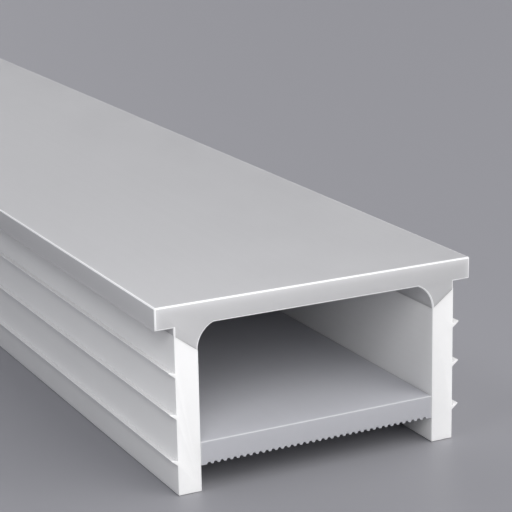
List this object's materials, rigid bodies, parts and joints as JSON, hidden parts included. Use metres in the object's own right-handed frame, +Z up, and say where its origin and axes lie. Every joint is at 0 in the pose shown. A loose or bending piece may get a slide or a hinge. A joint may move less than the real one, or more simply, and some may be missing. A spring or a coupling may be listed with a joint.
{
  "type": "silicone led channel",
  "caption": "Flexible silicone channel: a milky diffuser cap over a hollow cavity for an LED strip, carried by two barbed side walls and a web.",
  "frame": {"origin": "middle of the section and of the length, on the plane of the two feet", "axes": "+Y along the length, +X across the section, +Z up from the feet to the cap"},
  "size_m": [0.02, 0.5, 0.011],
  "materials": {
    "cap_silicone": "satin, milky, light passes through it diffusely",
    "wall_silicone": "matte, opaque white",
    "web_silicone": "matte, pale grey"
  },
  "bodies": {
    "root": {"diffuser_cap": "cap_silicone", "side_wall_left": "wall_silicone", "side_wall_right": "wall_silicone", "base_web": "web_silicone"}
  },
  "joints": []
}
